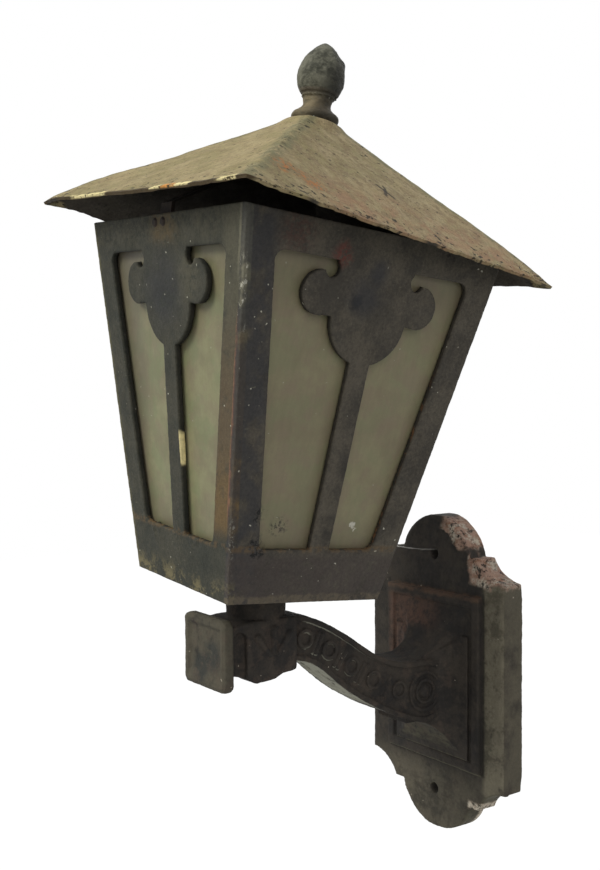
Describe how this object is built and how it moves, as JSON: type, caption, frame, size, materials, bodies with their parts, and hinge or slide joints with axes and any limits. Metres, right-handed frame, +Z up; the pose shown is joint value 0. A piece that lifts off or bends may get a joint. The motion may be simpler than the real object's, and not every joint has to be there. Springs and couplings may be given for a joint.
{
  "type": "outdoor wall sconce",
  "caption": "Square flared wall lantern with pierced sides, frosted panes, a pyramid roof and a turned finial, on a scrolled cast arm and a lobed wall plate.",
  "frame": {"origin": "middle of the wall plate's back face, halfway between its two screw holes", "axes": "+Z up the wall, -Y straight out from the wall, +X to the right for someone facing the wall"},
  "size_m": [0.2062, 0.2379, 0.462],
  "materials": {
    "cast_iron_dark": "old black paint over rust, pitted",
    "lantern_iron": "weathered, brown and grey, spots of rust",
    "frosted_glass": "frosted, stained with dirt",
    "roof_sheet": "old olive tan paint, flaking and rusty",
    "inner_steel": "plain steel, dulled",
    "brass_fittings": "dull brass",
    "porcelain": "glazed cream",
    "bulb_glass": "frosted white glass",
    "tie_wire_steel": "galvanised, dull"
  },
  "bodies": {
    "lantern": {"wall_bracket": "cast_iron_dark", "side_front": "lantern_iron", "side_right": "lantern_iron", "side_back": "lantern_iron", "side_left": "lantern_iron", "pane_front": "frosted_glass", "pane_right": "frosted_glass", "pane_back": "frosted_glass", "pane_left": "frosted_glass", "glazing_clips": "inner_steel", "base_tray": "inner_steel", "nipple": "brass_fittings", "nipple_washer": "inner_steel", "nipple_nut": "brass_fittings", "holder_base": "inner_steel", "holder_screws": "brass_fittings", "lampholder": "porcelain", "screw_shell": "brass_fittings", "centre_contact": "brass_fittings", "bulb_cap": "brass_fittings", "bulb": "bulb_glass", "roof_strap": "inner_steel", "strap_rivets": "inner_steel", "stud": "inner_steel", "strap_nuts": "inner_steel", "roof_nut": "inner_steel", "roof_washer": "inner_steel", "roof": "roof_sheet", "tie_wire": "tie_wire_steel"},
    "finial": {"finial": "lantern_iron"}
  },
  "joints": [
    {"name": "finial_turn", "type": "hinge", "parent": "lantern", "child": "finial", "pos_m": [0.02178, -0.1256, 0.3202], "axis": [0.0822, 0.1236, 0.9889], "continuous": true}
  ]
}
